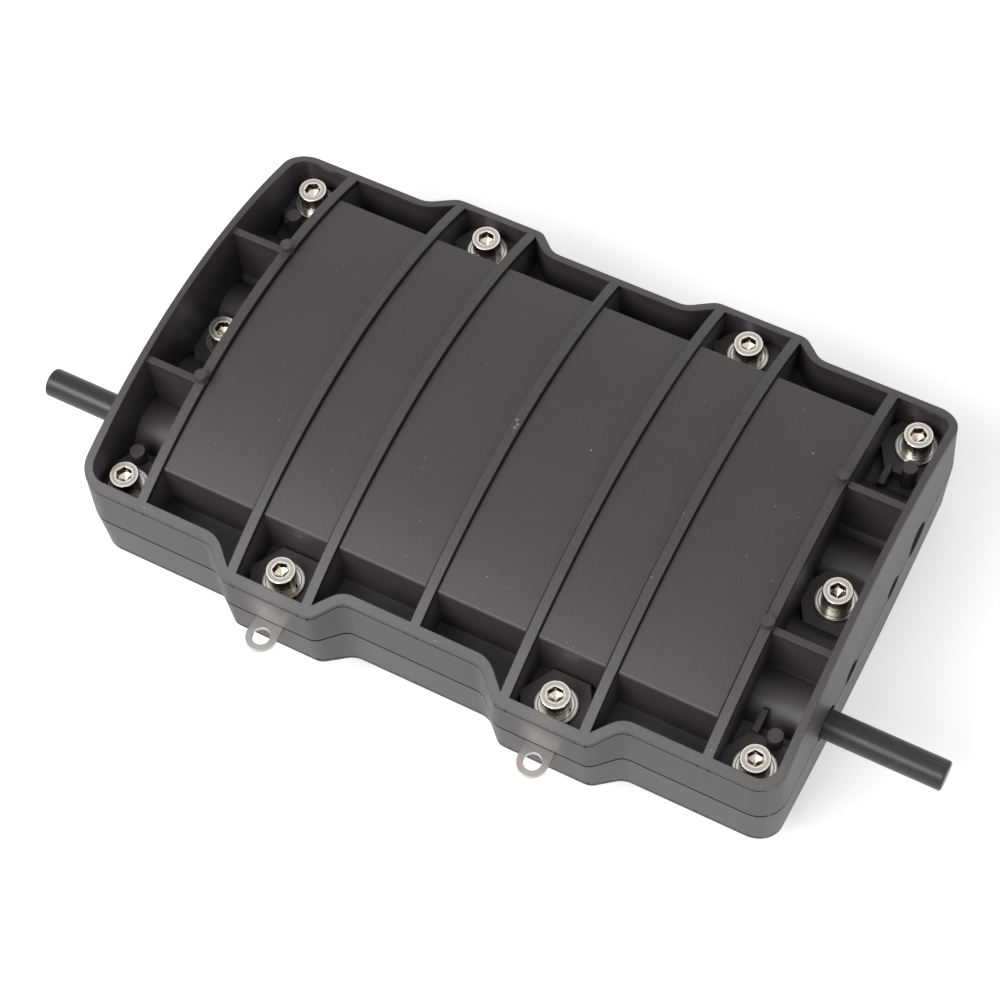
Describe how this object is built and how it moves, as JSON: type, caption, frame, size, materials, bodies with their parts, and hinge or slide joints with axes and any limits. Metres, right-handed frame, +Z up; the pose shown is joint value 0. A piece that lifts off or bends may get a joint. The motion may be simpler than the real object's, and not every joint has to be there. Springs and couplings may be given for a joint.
{
  "type": "in-line fibre splice closure",
  "caption": "Flat bolted two-part fibre distribution box with crowned ribbed shells, sealed cable ports, inner splice trays and hanging lugs.",
  "frame": {"origin": "on the ground plane under the middle of the whole part's bounding box, rods and lugs counted", "axes": "+X along the box towards the longer rod, +Y away from the hanging lugs, +Z up through the cover"},
  "size_m": [0.3362, 0.1794, 0.076],
  "materials": {
    "shell_plastic": "fine moulded grain",
    "rod_plastic": "satin",
    "screw_steel": "bright stainless",
    "lug_steel": "bright rolled sheet",
    "small_screw_steel": "zinc plated",
    "bracket_steel": "zinc plated sheet",
    "insert_brass": "machined",
    "seal_rubber": "matte",
    "clamp_plastic": "satin",
    "tray_plastic": "satin",
    "holder_plastic": "satin",
    "lid_plastic": "clear",
    "strap_fabric": "woven"
  },
  "bodies": {
    "base": {"base_shell": "shell_plastic", "threaded_inserts": "insert_brass", "side_gasket_front": "seal_rubber", "side_gasket_back": "seal_rubber", "end_seal_left": "seal_rubber", "end_seal_right": "seal_rubber", "plug_rod_left": "rod_plastic", "plug_rod_right": "rod_plastic", "hanging_lug_left": "lug_steel", "hanging_lug_right": "lug_steel", "clamp_bar_left": "clamp_plastic", "clamp_bar_right": "clamp_plastic", "clamp_screws": "small_screw_steel", "bracket_screws": "small_screw_steel", "strength_screws": "small_screw_steel", "tray_bracket": "bracket_steel", "strength_posts": "bracket_steel", "strength_plates": "bracket_steel", "splice_tray_lower": "tray_plastic", "splice_tray_upper": "tray_plastic", "splice_holders": "holder_plastic", "tray_hinge_pins": "small_screw_steel", "tray_lid": "lid_plastic", "tray_strap": "strap_fabric"},
    "cover": {"cover_shell": "shell_plastic", "cover_screws": "screw_steel", "spring_washers": "screw_steel", "flat_washers": "screw_steel"}
  },
  "joints": [
    {"name": "cover_lift", "type": "slide", "parent": "base", "child": "cover", "axis": [0, 0, 1], "range_m": [0, 0.08]}
  ]
}
